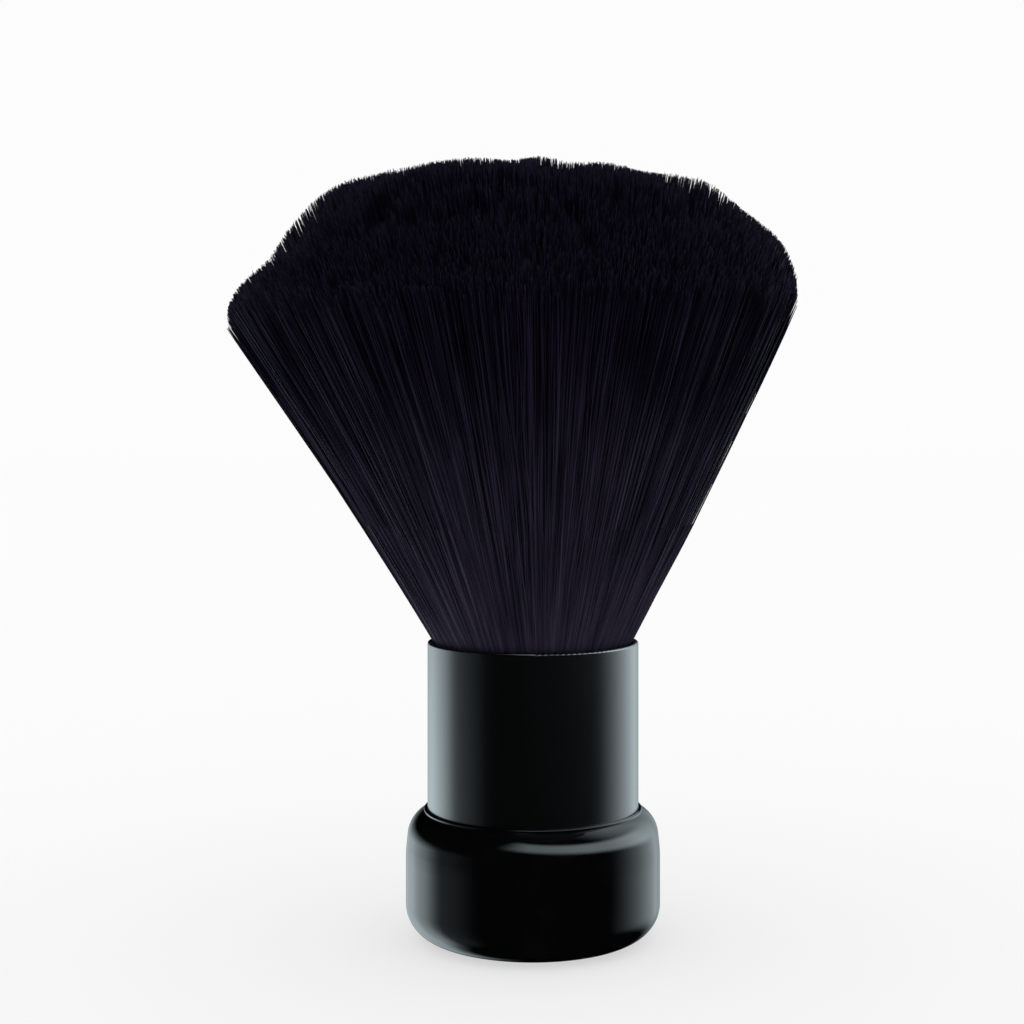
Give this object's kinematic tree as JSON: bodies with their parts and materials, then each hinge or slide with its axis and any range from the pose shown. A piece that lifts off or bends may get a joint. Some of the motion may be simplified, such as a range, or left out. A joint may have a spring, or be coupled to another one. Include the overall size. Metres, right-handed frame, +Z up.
{
  "type": "neck duster brush",
  "caption": "Stand-up barber's neck duster: flared soft black hair in a satin sleeve on a weighted, gloss black barrel base that rests on a flat foot.",
  "frame": {"origin": "centre of the foot pad's underside, on the handle's axis, where the brush stands", "axes": "+Z up along the handle to the hair, +Y away from the viewer of the front, +X to the right; the hair leans a little to -X"},
  "size_m": [0.1096, 0.1096, 0.1488],
  "materials": {
    "satin_black": "satin, fine moulded texture",
    "gloss_black": "high gloss",
    "moulded_black": "as moulded",
    "foot_rubber": "matt, fine grain",
    "zinc_steel": "bright zinc plated",
    "ballast_steel": "turned, bare",
    "potting_resin": "clear amber, set",
    "thread_black": "waxed thread",
    "black_hair": "soft straight fibre, slight sheen"
  },
  "bodies": {
    "handle": {"sleeve": "satin_black", "base_shell": "gloss_black", "base_plate": "moulded_black", "foot_pad": "foot_rubber", "clamp_screw": "zinc_steel", "screw_washer": "zinc_steel", "ballast_ring": "ballast_steel", "handle_core": "moulded_black", "knot_cup": "moulded_black", "resin_plug": "potting_resin", "binding_thread": "thread_black", "hair_root": "black_hair"},
    "lower_hair": {"hair_lower": "black_hair"},
    "upper_hair": {"hair_upper": "black_hair"}
  },
  "joints": [
    {"name": "hair_sway_side", "type": "hinge", "parent": "handle", "child": "lower_hair", "pos_m": [0, 0, 0.057], "axis": [0, 1, 0], "range_deg": [-20, 20], "stiffness_Nm_per_rad": 0.4},
    {"name": "hair_sway_front", "type": "hinge", "parent": "lower_hair", "child": "upper_hair", "pos_m": [0, 0, 0.067], "axis": [1, 0, 0], "range_deg": [-20, 20], "stiffness_Nm_per_rad": 0.4}
  ]
}
